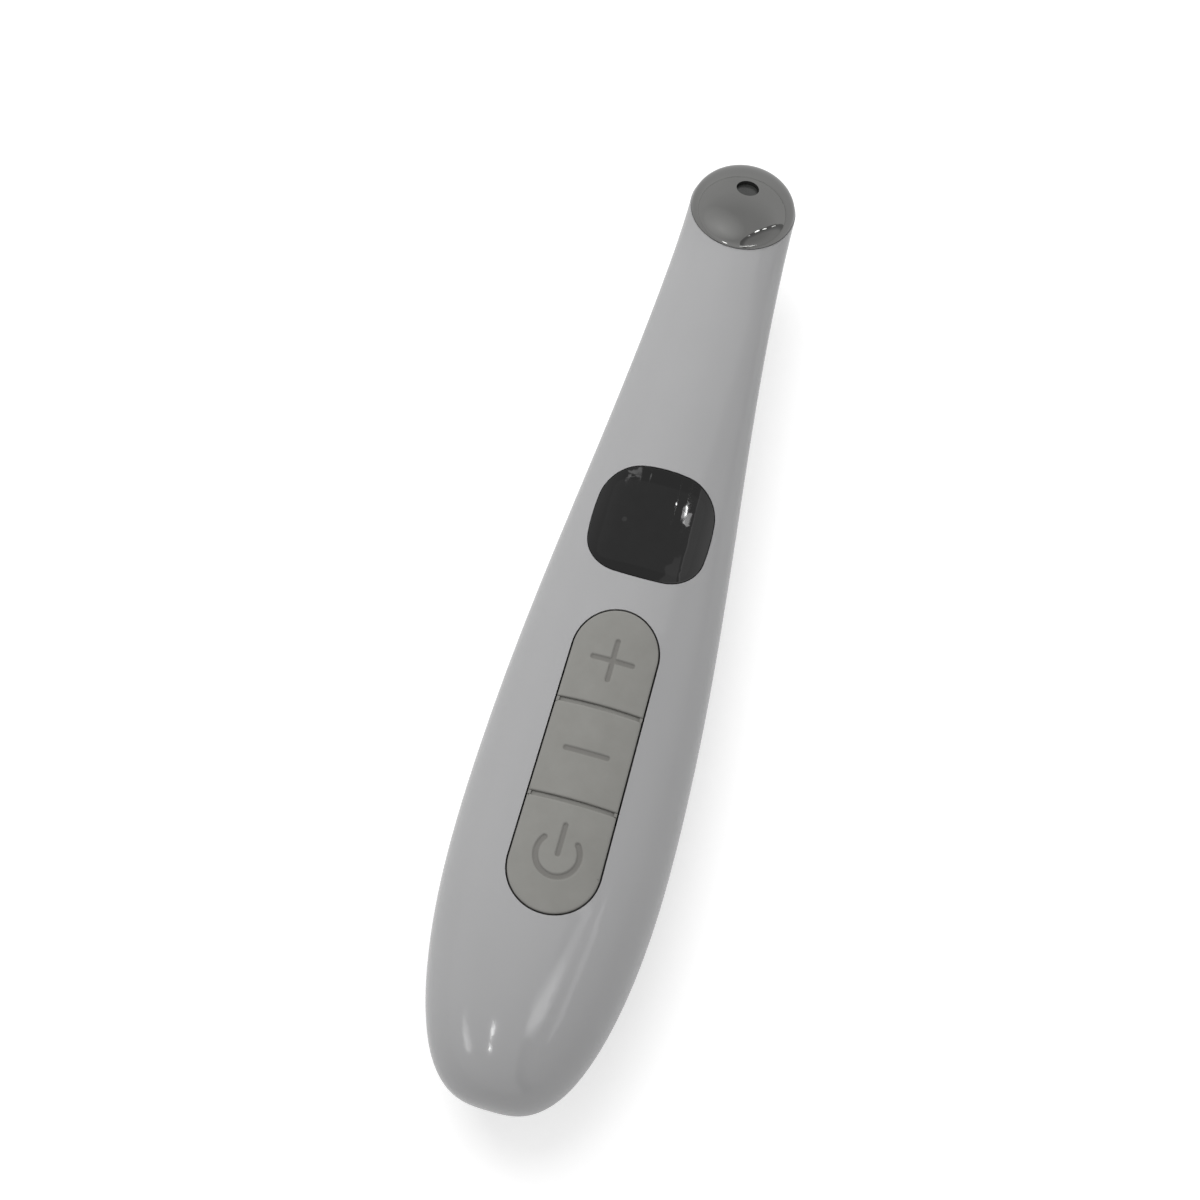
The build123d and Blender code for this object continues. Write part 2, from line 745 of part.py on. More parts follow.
def drive_coil():
    """Wound drum that drives the ceramic ring, under the board."""
    drum = Cylinder(coil_diameter / 2, coil_height, align=DOWN)
    winding = coil_height - 2 * coil_flange
    waist = Cylinder(coil_diameter / 2, winding, align=DOWN)
    waist -= Cylinder(coil_core_diameter / 2, winding, align=DOWN)
    return on_deck(coil_from_tail, board_bottom) * (drum - Pos(0, 0, -coil_flange) * waist)


def control_chip():
    """Square chip under the board."""
    return on_deck(chip_from_tail, board_bottom) * Box(chip_side, chip_side, chip_height, align=DOWN)


def timing_crystal():
    """Small metal can under the board."""
    return on_deck(crystal_from_tail, board_bottom) * Box(*crystal, align=DOWN)


def board_capacitors():
    """Two rows of small capacitors under the board, one each side of the chip."""
    first = -(capacitor_count - 1) / 2 * capacitor_pitch
    return Compound([on_deck(row, board_bottom, first + step * capacitor_pitch) * Box(*capacitor, align=DOWN)
                     for row in capacitor_rows_from_tail for step in range(capacitor_count)])


def lead_connector():
    """Connector for the head leads at the head end of the board."""
    return on_deck(connector_from_tail, board_top) * Box(*connector, align=UP)


makers = {
    "front_housing": front_housing, "back_housing": back_housing, "head_cap": head_cap,
    "head_seal": head_seal, "transducer_ring": transducer_ring, "light_guide": light_guide,
    "head_board": head_board, "head_lamp": head_lamp, "transducer_contacts": transducer_contacts,
    "keypad_mat": keypad_mat, "switch_bodies": switch_bodies, "main_board": main_board,
    "board_screws": board_screws, "display_lens": display_lens, "display_gasket": display_gasket,
    "display_panel": display_panel, "display_holder": display_holder, "display_pins": display_pins,
    "battery_cell": battery_cell, "battery_foam": battery_foam, "battery_leads": battery_leads,
    "head_leads": head_leads, "charge_leads": charge_leads, "charge_socket": charge_socket,
    "charge_tongue": charge_tongue, "charge_board": charge_board, "charge_screws": charge_screws,
    "drive_coil": drive_coil, "control_chip": control_chip, "timing_crystal": timing_crystal,
    "board_capacitors": board_capacitors, "lead_connector": lead_connector,
}
nodes = {name: make() for name, make in makers.items()}
for name in key_places:
    nodes["key_" + name] = key(name)
    nodes["stem_" + name] = stem(name)

os.makedirs("parts", exist_ok=True)
for name, solid in nodes.items():
    export_step(solid, f"parts/{name}.step")
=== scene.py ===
"""Looks of the facial cleansing wand: finishes, engraved keys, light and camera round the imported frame."""
import json
from math import cos, pi, radians, sin, tan

import bmesh
import bpy
import numpy as np
from mathutils import Matrix, Vector
from mathutils.bvhtree import BVHTree
from mathutils.geometry import delaunay_2d_cdt

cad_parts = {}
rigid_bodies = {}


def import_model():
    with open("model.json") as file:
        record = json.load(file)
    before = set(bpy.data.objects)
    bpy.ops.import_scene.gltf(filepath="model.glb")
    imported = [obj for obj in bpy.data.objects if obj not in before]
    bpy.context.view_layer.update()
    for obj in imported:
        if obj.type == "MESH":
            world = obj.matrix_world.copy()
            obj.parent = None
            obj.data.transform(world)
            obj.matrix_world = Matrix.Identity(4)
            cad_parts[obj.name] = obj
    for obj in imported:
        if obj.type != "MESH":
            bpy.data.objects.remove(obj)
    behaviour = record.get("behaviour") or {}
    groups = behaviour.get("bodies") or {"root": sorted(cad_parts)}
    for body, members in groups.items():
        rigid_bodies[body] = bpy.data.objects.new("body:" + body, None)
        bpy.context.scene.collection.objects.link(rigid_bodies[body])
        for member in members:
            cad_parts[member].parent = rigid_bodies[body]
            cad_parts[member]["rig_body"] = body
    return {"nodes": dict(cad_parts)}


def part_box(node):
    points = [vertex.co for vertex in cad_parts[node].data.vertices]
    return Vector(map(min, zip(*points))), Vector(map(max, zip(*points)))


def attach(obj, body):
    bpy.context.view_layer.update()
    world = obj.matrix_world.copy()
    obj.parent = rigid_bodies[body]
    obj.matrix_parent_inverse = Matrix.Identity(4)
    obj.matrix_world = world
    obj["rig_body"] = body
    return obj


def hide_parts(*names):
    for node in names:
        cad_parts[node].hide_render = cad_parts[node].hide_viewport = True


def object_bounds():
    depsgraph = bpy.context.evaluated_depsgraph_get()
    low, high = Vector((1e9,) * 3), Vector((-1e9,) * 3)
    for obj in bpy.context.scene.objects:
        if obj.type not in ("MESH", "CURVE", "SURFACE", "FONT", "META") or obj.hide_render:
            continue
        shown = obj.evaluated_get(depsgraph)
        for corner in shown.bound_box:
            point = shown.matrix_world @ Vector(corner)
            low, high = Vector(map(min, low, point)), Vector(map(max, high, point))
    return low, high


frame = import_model()
cad_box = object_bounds()
nodes = frame["nodes"]

MM = 0.001

# Camera: how far it leans from straight above towards the tail and to the right, and its roll.
# Distances are in metres, the lens and its sensor in millimetres.
camera_tilt = radians(16.0)
camera_side = radians(3.0)
camera_roll = radians(16.1)
camera_distance = 0.35
camera_target = Vector((-5.12, -1.87, 25.0)) * MM
camera_lens = 61.85
camera_near = 0.01
sensor_width = 36.0

# Signs on the keys, in millimetres from the middle of the key's stem. A sign's "up" is how far it
# lies towards the head, and the power sign's ring is open over ring_gap on each side of its top.
stroke = 0.83
sign_depth = 0.28
sign_edge = 0.2
plus_arm = 7.6
plus_up = 0.28
minus_arm = 7.87
minus_up = 0.15
power_up = 0.28
ring_outer = 8.1
ring_inner = 6.3
ring_gap = radians(51.0)
bar_low = -0.33
bar_high = 5.32

# Meshes of the keys, in millimetres: a key is cut wall_cut_depth below its highest point, and its
# walls are drawn up again with the deck's lean and rounded into the new crown. A corner that is set
# in moves by at most 1 / sharpest_corner of the distance, and fill_outline tells the triangulation
# to keep only what lies inside the outline.
wall_cut_depth = 1.9
wall_step = 0.4
wall_lean = radians(2.0)
edge_radius = 0.3
edge_steps = 4
crown_step = 0.15
crown_samples = 41
probe_height = 10.0
weld_distance = 0.001
level_tolerance = 0.0001
sharpest_corner = 0.5
fill_outline = 1
merge_distance = 1e-7

# Display behind the window, in millimetres from the window's middle. An edge is a share of the
# form's size, and a form's power goes from 2 for an oval to more for squarer corners.
display_half_width = 8.1
display_half_length = 7.6
display_offset = -0.5
display_edge = 0.12
display_power = 8
sensor_x = -4.75
sensor_y = -0.4
sensor_radius = 0.42
sensor_edge = 0.7
sensor_power = 2

# Finishes: the range in which most of the noise lies, and what all finishes share
noise_low = 0.3
noise_high = 0.7
tone_detail = 3.0
roughness_scale = 1.7
least_roughness = 0.02
key_dark = (0.268, 0.265, 0.248)
key_light = (0.288, 0.285, 0.268)
# Grey of the sunk signs: partly their own darker tone, partly painted shade of the recess
sign_tone_and_painted_shade = (0.205, 0.2, 0.188)
key_specular = 0.4
border_black = 0.0012
display_dark = 0.0042
display_light = 0.0058
sensor_grey = 0.022
window_specular = 0.37

# Stage. A tone of 1 is white, and lengths are in metres. The floor's lift is its own light as the
# camera sees it, and floor_lift_far is what comes on top of it from floor_far outwards.
world_diffuse = 0.5
ceiling_grey = 0.8
ceiling_from = 0.25
ceiling_to = 0.8
floor_grey = 0.8
floor_lift = 0.5
floor_lift_far = 0.12
floor_lift_in_gloss = 0.2
floor_near = 0.25
floor_far = 1.2
floor_size = 6.0
lamp_distance = 1.2

# Dark round patch of the room's wall: the direction of its middle, and two steps of its tone, from
# outside inwards. A step gives the cosines at which it starts and ends, and its factor within.
wall_direction = (0.907, -0.283, 0.313)
wall_shades = ((0.635, 0.65, 0.42), (0.69, 0.82, 1.9))


def grey(tone):
    return (tone, tone, tone)


def node_tree(material):
    """Empty shader tree of a material, with its shader and output joined."""
    material.use_nodes = True
    tree = material.node_tree
    tree.nodes.clear()
    shader = tree.nodes.new("ShaderNodeBsdfPrincipled")
    output = tree.nodes.new("ShaderNodeOutputMaterial")
    tree.links.new(shader.outputs["BSDF"], output.inputs["Surface"])
    return tree, shader


def maths(tree, operation, first, second):
    """Result of a step of arithmetic on two values, each a number or another node's output."""
    step = tree.nodes.new("ShaderNodeMath")
    step.operation = operation
    for socket, value in ((step.inputs[0], first), (step.inputs[1], second)):
        if isinstance(value, (int, float)):
            socket.default_value = value
        else:
            tree.links.new(value, socket)
    return step.outputs[0]


def ramp(tree, value, start, end, low, high, interpolation="LINEAR"):
    """Value that goes from low to high while the given one goes from start to end."""
    ranged = tree.nodes.new("ShaderNodeMapRange")
    ranged.interpolation_type = interpolation
    ranged.inputs["From Min"].default_value = start
    ranged.inputs["From Max"].default_value = end
    ranged.inputs["To Min"].default_value = low
    ranged.inputs["To Max"].default_value = high
    tree.links.new(value, ranged.inputs["Value"])
    return ranged.outputs["Result"]


def noise(tree, scale, detail=2.0, stretch=(1, 1, 1)):
    """Procedural noise in the object's own coordinates."""
    place = tree.nodes.new("ShaderNodeTexCoord")
    mapping = tree.nodes.new("ShaderNodeMapping")
    mapping.inputs["Scale"].default_value = stretch
    texture = tree.nodes.new("ShaderNodeTexNoise")
    texture.inputs["Scale"].default_value = scale
    texture.inputs["Detail"].default_value = detail
    tree.links.new(place.outputs["Object"], mapping.inputs["Vector"])
    tree.links.new(mapping.outputs["Vector"], texture.inputs["Vector"])
    return texture.outputs["Fac"]


def spread(tree, value, low=0.0, high=1.0):
    """The noise's middle range, spread between two values."""
    return ramp(tree, value, noise_low, noise_high, low, high)


def mix_colours(tree, share, first, second):
    """Mix of two colours, each a colour or another node's output."""
    mix = tree.nodes.new("ShaderNodeMix")
    mix.data_type = "RGBA"
    tree.links.new(share, mix.inputs["Factor"])
    for socket, colour in (("A", first), ("B", second)):
        target = next(s for s in mix.inputs if s.name == socket and s.type == "RGBA")
        if isinstance(colour, tuple):
            target.default_value = (*colour, 1)
        else:
            tree.links.new(colour, target)
    return next(s for s in mix.outputs if s.type == "RGBA")


def grain(tree, shader, heights, depth):
    """Bump of the given depth in metres."""
    bump = tree.nodes.new("ShaderNodeBump")
    bump.inputs["Distance"].default_value = depth
    bump.inputs["Strength"].default_value = 1.0
    tree.links.new(heights, bump.inputs["Height"])
    tree.links.new(bump.outputs["Normal"], shader.inputs["Normal"])


def finish(name, colour, roughness, mottle=0.06, scale=350.0, rough_spread=0.05, metallic=0.0,
           bump=0.0, bump_scale=4000.0, stretch=(1, 1, 1), rim=1.0):
    """Principled material whose colour, roughness and surface vary a little all over."""
    material = bpy.data.materials.new(name)
    tree, shader = node_tree(material)
    tone = noise(tree, scale, tone_detail, stretch)
    darker = tuple(c * (1 - mottle) for c in colour)
    lighter = tuple(min(c * (1 + mottle), 1.0) for c in colour)
    tree.links.new(mix_colours(tree, spread(tree, tone), darker, lighter), shader.inputs["Base Color"])
    rough = spread(tree, noise(tree, scale * roughness_scale, stretch=stretch),
                   max(roughness - rough_spread, least_roughness), roughness + rough_spread)
    tree.links.new(rough, shader.inputs["Roughness"])
    shader.inputs["Metallic"].default_value = metallic
    shader.inputs["Specular Tint"].default_value = (*grey(rim), 1)
    if bump:
        grain(tree, shader, noise(tree, bump_scale, stretch=stretch), bump)
    return material


def key_finish():
    """Soft-touch grey of the keys, darker where the signs are cut in: partly the signs' own tone, partly
    painted shade in the recess.
    """
    material = bpy.data.materials.new("key_rubber")
    tree, shader = node_tree(material)
    share = spread(tree, noise(tree, scale=260.0, detail=tone_detail))
    rubber = mix_colours(tree, share, key_dark, key_light)
    cut = tree.nodes.new("ShaderNodeAttribute")
    cut.attribute_name = "cut"
    # Painted shade: the sunk signs take the darker grey as far as they are sunk, on top of their own tone
    colour = mix_colours(tree, cut.outputs["Fac"], rubber, sign_tone_and_painted_shade)
    tree.links.new(colour, shader.inputs["Base Color"])
    rough = spread(tree, noise(tree, scale=900.0), low=0.52, high=0.66)
    tree.links.new(rough, shader.inputs["Roughness"])
    shader.inputs["Specular IOR Level"].default_value = key_specular
    grain(tree, shader, noise(tree, scale=9000.0, detail=1.0), depth=0.000006)
    return material


def place_mask(tree, centre, half_width, half_length, edge, power):
    """1 inside a rounded rectangle on the object, in metres across X and Y, and 0 outside it."""
    place = tree.nodes.new("ShaderNodeTexCoord")
    parts = tree.nodes.new("ShaderNodeSeparateXYZ")
    tree.links.new(place.outputs["Object"], parts.inputs["Vector"])
    total = None
    for axis, middle, half in (("X", centre[0], half_width), ("Y", centre[1], half_length)):
        value = parts.outputs[axis]
        for operation, number in (("SUBTRACT", middle), ("DIVIDE", half), ("ABSOLUTE", 0), ("POWER", power)):
            value = maths(tree, operation, value, number)
        total = value if total is None else maths(tree, "ADD", total, value)
    return ramp(tree, total, 1 - edge, 1 + edge, 1, 0, "SMOOTHSTEP")


def lens_finish():
    """Smoked window: black border, display area a shade lighter, and a small sensor behind it."""
    material = bpy.data.materials.new("window_smoked")
    tree, shader = node_tree(material)
    low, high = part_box("display_lens")
    middle = (low + high) / 2
    share = spread(tree, noise(tree, scale=500.0, detail=tone_detail))
    smoke = mix_colours(tree, share, grey(display_dark), grey(display_light))
    area = place_mask(tree, (middle.x, middle.y + display_offset * MM), display_half_width * MM,
                      display_half_length * MM, display_edge, display_power)
    colour = mix_colours(tree, area, grey(border_black), smoke)
    dot = place_mask(tree, (middle.x + sensor_x * MM, middle.y + sensor_y * MM), sensor_radius * MM,
                     sensor_radius * MM, sensor_edge, sensor_power)
    colour = mix_colours(tree, dot, colour, grey(sensor_grey))
    tree.links.new(colour, shader.inputs["Base Color"])
    rough = spread(tree, noise(tree, scale=300.0), low=0.015, high=0.03)
    tree.links.new(rough, shader.inputs["Roughness"])
    shader.inputs["Specular IOR Level"].default_value = window_specular
    return material


def repaint(material, *names):
    """Gives carried-over nodes one finish."""
    for name in names:
        mesh = nodes[name].data
        mesh.materials.clear()
        mesh.materials.append(material)


def paint_frame():
    """Finishes of the nodes that stay as they are."""
    repaint(finish("housing_gloss", (0.415, 0.415, 0.42), 0.11, mottle=0.012, scale=60.0,
                   rough_spread=0.03, bump=0.000002, bump_scale=1500.0),
            "front_housing", "back_housing")
    repaint(finish("cap_chrome", (0.185, 0.185, 0.181), 0.06, mottle=0.03, scale=120.0,
                   rough_spread=0.025, metallic=1.0, rim=0.75),
            "head_cap")
    repaint(lens_finish(), "display_lens")
    repaint(finish("mat_rubber", (0.255, 0.251, 0.236), 0.6, bump=0.00001, bump_scale=9000.0),
            "keypad_mat")
    repaint(finish("seal_rubber", grey(0.03), 0.6, bump=0.00001), "head_seal", "display_gasket")
    repaint(finish("board_green", (0.02, 0.12, 0.05), 0.35, mottle=0.15, scale=500.0),
            "head_board", "main_board", "charge_board")
    repaint(finish("contact_gold", (0.75, 0.5, 0.18), 0.25, metallic=1.0),
            "transducer_contacts", "display_pins")
    repaint(finish("steel", grey(0.5), 0.3, metallic=1.0, scale=900.0),
            "board_screws", "charge_screws", "charge_socket", "timing_crystal")
    repaint(finish("black_plastic", (0.025, 0.025, 0.026), 0.4, bump=0.00001),
            "switch_bodies", "display_holder", "control_chip", "lead_connector", "charge_tongue")
    repaint(finish("ceramic", (0.6, 0.52, 0.4), 0.5, mottle=0.1, bump=0.00001),
            "transducer_ring", "board_capacitors")
    repaint(finish("guide_clear", (0.022, 0.023, 0.022), 0.25, mottle=0.2, scale=900.0), "light_guide")
    repaint(finish("lamp_yellow", (0.8, 0.7, 0.25), 0.3, scale=2000.0), "head_lamp")
    repaint(finish("cell_sleeve", (0.05, 0.13, 0.35), 0.3, mottle=0.08, scale=120.0), "battery_cell")
    repaint(finish("foam", grey(0.05), 0.9, mottle=0.3, scale=3000.0, bump=0.0001, bump_scale=2500.0),
            "battery_foam")
    repaint(finish("lead_red", (0.4, 0.02, 0.015), 0.45, bump=0.00001),
            "battery_leads", "head_leads", "charge_leads")
    repaint(finish("coil_copper", (0.45, 0.18, 0.06), 0.3, metallic=1.0, scale=300.0,
                   stretch=(1, 1, 30), bump=0.00005, bump_scale=300.0),
            "drive_coil")
    repaint(finish("panel_black", (0.012, 0.012, 0.014), 0.15, mottle=0.2), "display_panel")
    repaint(finish("stem_ivory", (0.6, 0.58, 0.52), 0.4, bump=0.00001),
            "stem_power", "stem_minus", "stem_plus")


def to_segment(point, start, end):
    """Distances of points from a stroke's middle line."""
    along = np.subtract(end, start)
    share = np.clip(((point - start) @ along) / (along @ along), 0, 1)
    return np.linalg.norm(point - start - share[:, None] * along, axis=1)


def to_arc(point, radius, gap):
    """Distances of points from a ring that is open at the top."""
    angle = np.arctan2(point[:, 0], point[:, 1])
    held = np.where(np.abs(angle) < gap, np.where(angle < 0, -gap, gap), angle)
    on_arc = radius * np.column_stack((np.sin(held), np.cos(held)))
    return np.linalg.norm(point - on_arc, axis=1)


def plus_sign(point):
    """Distances of points from the plus sign's outline, under 0 inside it."""
    point = point - (0, plus_up)
    half = (plus_arm - stroke) / 2
    across = to_segment(point, (-half, 0), (half, 0))
    return np.minimum(across, to_segment(point, (0, -half), (0, half))) - stroke / 2


def minus_sign(point):
    """Distances of points from the minus sign's outline, under 0 inside it."""
    point = point - (0, minus_up)
    half = (minus_arm - stroke) / 2
    return to_segment(point, (-half, 0), (half, 0)) - stroke / 2


def power_sign(point):
    """Distances of points from the power sign's outline, under 0 inside it."""
    point = point - (0, power_up)
    ring_stroke = (ring_outer - ring_inner) / 2
    ring_radius = (ring_outer - ring_stroke) / 2
    ring = to_arc(point, ring_radius, ring_gap) - ring_stroke / 2
    bar = to_segment(point, (0, bar_low + stroke / 2), (0, bar_high - stroke / 2)) - stroke / 2
    return np.minimum(ring, bar)


def crown_terms(x, y):
    """Terms of the smooth surface fitted over a key."""
    return np.column_stack((np.ones_like(x), y, y * y, x * x, x * x * y, x ** 4, x ** 6))


def fit_crown(name, low, high, middle):
    """Heights of the key's crown as a function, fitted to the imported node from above, in millimetres.

    Only places away from the crown's edge count: the rays round them have to meet the crown too."""
    tree = BVHTree.FromObject(nodes[name], bpy.context.evaluated_depsgraph_get())
    xs, ys = np.meshgrid(np.linspace(low.x, high.x, crown_samples),
                         np.linspace(low.y, high.y, crown_samples))
    start = high.z + probe_height * MM
    reach = 2 * edge_radius * MM
    places, heights = [], []
    for x, y in zip(xs.ravel(), ys.ravel()):
        hits = [tree.ray_cast(Vector((x + dx, y + dy, start)), Vector((0, 0, -1)))[0]
                for dx, dy in ((0, 0), (reach, 0), (-reach, 0), (0, reach), (0, -reach))]
        if all(h is not None and h.z > high.z - wall_cut_depth * MM for h in hits):
            places.append((x - middle.x, y - middle.y))
            heights.append(hits[0].z)
    places = np.array(places) / MM
    terms = crown_terms(places[:, 0], places[:, 1])
    factors = np.linalg.lstsq(terms, np.array(heights) / MM, rcond=None)[0]
    return lambda x, y: crown_terms(np.asarray(x, float), np.asarray(y, float)) @ factors


def cut_below(name, depth):
    """Copy of a key's node below a level, and the edges where it was cut, none of them long."""
    mesh = bmesh.new()
    mesh.from_mesh(nodes[name].data)
    mesh.verts.layers.float.new("cut")
    bmesh.ops.remove_doubles(mesh, verts=mesh.verts, dist=weld_distance * MM)
    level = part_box(name)[1].z - depth
    geometry = mesh.verts[:] + mesh.edges[:] + mesh.faces[:]
    cut = bmesh.ops.bisect_plane(mesh, geom=geometry, plane_co=(0, 0, level), plane_no=(0, 0, 1),
                                 clear_outer=True)
    for edge in [e for e in cut["geom_cut"] if isinstance(e, bmesh.types.BMEdge)]:
        cuts = int(edge.calc_length() / (wall_step * MM))
        if cuts:
            bmesh.ops.subdivide_edges(mesh, edges=[edge], cuts=cuts)
    tolerance = level_tolerance * MM
    return mesh, [e for e in mesh.edges if all(abs(v.co.z - level) < tolerance for v in e.verts)]


def ordered_loop(edges):
    """Vertices of the longest closed loop among the edges, in order and counter-clockwise.

    The edges still left are the keys of a dictionary, which keeps their order in each run."""
    left, loops = dict.fromkeys(edges), []
    while left:
        edge = left.popitem()[0]
        loop = [edge.verts[0], edge.verts[1]]
        while True:
            following = next((e for e in loop[-1].link_edges if e in left), None)
            if following is None:
                break
            del left[following]
            loop.append(following.other_vert(loop[-1]))
        loops.append(loop[:-1])
    loop = max(loops, key=len)
    area = sum(a.co.x * b.co.y - b.co.x * a.co.y for a, b in zip(loop, loop[1:] + loop[:1]))
    return loop if area > 0 else loop[::-1]


def inset_points(points, distance):
    """Closed outline set in by a distance along its mean normals."""
    before, after = np.roll(points, 1, axis=0), np.roll(points, -1, axis=0)
    first = (points - before) / np.linalg.norm(points - before, axis=1)[:, None]
    second = (after - points) / np.linalg.norm(after - points, axis=1)[:, None]
    mean = first + second
    mean /= np.linalg.norm(mean, axis=1)[:, None]
    inward = np.column_stack((-mean[:, 1], mean[:, 0]))
    facing = np.abs((inward * np.column_stack((-first[:, 1], first[:, 0]))).sum(1))
    stretch = 1 / np.maximum(facing, sharpest_corner)
    return points + inward * (distance * stretch)[:, None]


def inside(points, outline):
    """Which points lie inside a closed outline."""
    found = np.zeros(len(points), bool)
    for start, end in zip(outline, np.roll(outline, -1, axis=0)):
        if start[1] == end[1]:
            continue
        crosses = (start[1] > points[:, 1]) != (end[1] > points[:, 1])
        at = start[0] + (points[:, 1] - start[1]) / (end[1] - start[1]) * (end[0] - start[0])
        found ^= crosses & (points[:, 0] < at)
    return found


def leaning_outline(loop, middle, height):
    """Outline in which the walls over a loop reach the crown's edge, in millimetres from the middle."""
    outline = np.array([((v.co.x - middle.x) / MM, (v.co.y - middle.y) / MM) for v in loop])
    rise = height(outline[:, 0], outline[:, 1]) - edge_radius - loop[0].co.z / MM
    outline[:, 1] += rise * tan(wall_lean)
    return outline


def raise_walls(mesh, loop, outline, height, place):
    """Walls from a loop up to an outline, and the rounded edge over them. Gives its upper ring."""
    rings = [loop]
    for step in range(edge_steps + 1):
        turn = pi / 2 * step / edge_steps
        points = inset_points(outline, edge_radius * (1 - cos(turn)))
        drop = edge_radius * (1 - sin(turn))
        tops = height(points[:, 0], points[:, 1]) - drop
        rings.append([place(x, y, z) for (x, y), z in zip(points, tops)])
    for lower, upper in zip(rings, rings[1:]):
        for index in range(len(loop)):
            after = (index + 1) % len(loop)
            mesh.faces.new((lower[index], lower[after], upper[after], upper[index]))
    return rings[-1]


def engraved_crown(mesh, ring, outline, height, sign, place):
    """Crown inside the ring, with the sign sunk in it. The layer "cut" keeps how far it is sunk."""
    edge = inset_points(outline, edge_radius)
    xs = np.arange(edge[:, 0].min(), edge[:, 0].max(), crown_step)
    ys = np.arange(edge[:, 1].min(), edge[:, 1].max(), crown_step)
    grid = np.array([(x, y) for x in xs for y in ys])
    grid = grid[inside(grid, inset_points(outline, edge_radius + crown_step))]
    corners = [Vector(p) for p in edge] + [Vector(p) for p in grid]
    border = [(i, (i + 1) % len(edge)) for i in range(len(edge))]
    points, _, faces, origin, _, _ = delaunay_2d_cdt(corners, border, [], fill_outline, merge_distance)
    flat = np.array([(p.x, p.y) for p in points])
    share = np.clip(0.5 - sign(flat) / sign_edge, 0, 1)
    share = share * share * (3 - 2 * share)
    tops = height(flat[:, 0], flat[:, 1]) - sign_depth * share
    cut_layer = mesh.verts.layers.float["cut"]
    made = []
    for (x, y), z, sunk, source in zip(flat, tops, share, origin):
        own = [s for s in source if s < len(edge)]
        vertex = ring[own[0]] if own else place(x, y, z)
        vertex[cut_layer] = sunk
        made.append(vertex)
    for face in faces:
        mesh.faces.new([made[index] for index in face])


def key_piece(name, sign, material):
    """Key with its sign cut into the crown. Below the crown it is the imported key."""
    low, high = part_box(name)
    stem_low, stem_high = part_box(name.replace("key", "stem"))
    middle = (stem_low + stem_high) / 2
    height = fit_crown(name, low, high, middle)
    mesh, edges = cut_below(name, wall_cut_depth * MM)
    loop = ordered_loop(edges)
    outline = leaning_outline(loop, middle, height)

    def place(x, y, z):
        return mesh.verts.new((middle.x + x * MM, middle.y + y * MM, z * MM))

    ring = raise_walls(mesh, loop, outline, height, place)
    engraved_crown(mesh, ring, outline, height, sign, place)
    for face in mesh.faces:
        face.smooth = True
    bmesh.ops.recalc_face_normals(mesh, faces=mesh.faces)
    data = bpy.data.meshes.new(name + "_engraved")
    mesh.to_mesh(data)
    mesh.free()
    data.materials.append(material)
    piece = bpy.data.objects.new(name + "_engraved", data)
    bpy.context.scene.collection.objects.link(piece)
    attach(piece, nodes[name]["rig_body"])
    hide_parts(name)


def make_keys():
    """The three keys, each with its own sign."""
    material = key_finish()
    for name, sign in (("key_power", power_sign), ("key_minus", minus_sign), ("key_plus", plus_sign)):
        key_piece(name, sign, material)


def seen_directly(tree, camera=1.0, mirrored=1.0):
    """A value for rays from the camera and one for rays seen in gloss or through glass."""
    path = tree.nodes.new("ShaderNodeLightPath")
    total = maths(tree, "MULTIPLY", path.outputs["Is Camera Ray"], camera)
    for name in ("Is Glossy Ray", "Is Transmission Ray"):
        total = maths(tree, "MAXIMUM", total, maths(tree, "MULTIPLY", path.outputs[name], mirrored))
    return total


def make_floor():
    """Plain pale floor that keeps the shadow, and whitens away from the object."""
    bpy.ops.mesh.primitive_plane_add(size=floor_size)
    floor = bpy.context.object
    floor.name = "floor"
    floor.location.z = cad_box[0][2]
    material = bpy.data.materials.new("floor_pale")
    tree, shader = node_tree(material)
    shader.inputs["Base Color"].default_value = (*grey(floor_grey), 1)
    shader.inputs["Roughness"].default_value = 1.0
    shader.inputs["Specular IOR Level"].default_value = 0.0
    shader.inputs["Emission Color"].default_value = (1, 1, 1, 1)
    place = tree.nodes.new("ShaderNodeTexCoord")
    away = tree.nodes.new("ShaderNodeVectorMath")
    away.operation = "LENGTH"
    tree.links.new(place.outputs["Object"], away.inputs[0])
    rise = ramp(tree, away.outputs["Value"], floor_near, floor_far, 0.0, floor_lift_far)
    far = maths(tree, "MULTIPLY", seen_directly(tree, 1.0, 0.0), rise)
    lift = maths(tree, "ADD", seen_directly(tree, floor_lift, floor_lift_in_gloss), far)
    tree.links.new(lift, shader.inputs["Emission Strength"])
    floor.data.materials.append(material)


def dark_wall(tree, direction):
    """1 in most of the room, and less on a round patch of it, where it is darkest along the edge."""
    towards = tree.nodes.new("ShaderNodeVectorMath")
    towards.operation = "DOT_PRODUCT"
    towards.inputs[1].default_value = wall_direction
    tree.links.new(direction, towards.inputs[0])
    outer, inner = (ramp(tree, towards.outputs["Value"], start, end, 1.0, tone, "SMOOTHSTEP")
                    for start, end, tone in wall_shades)
    return maths(tree, "MULTIPLY", outer, inner)


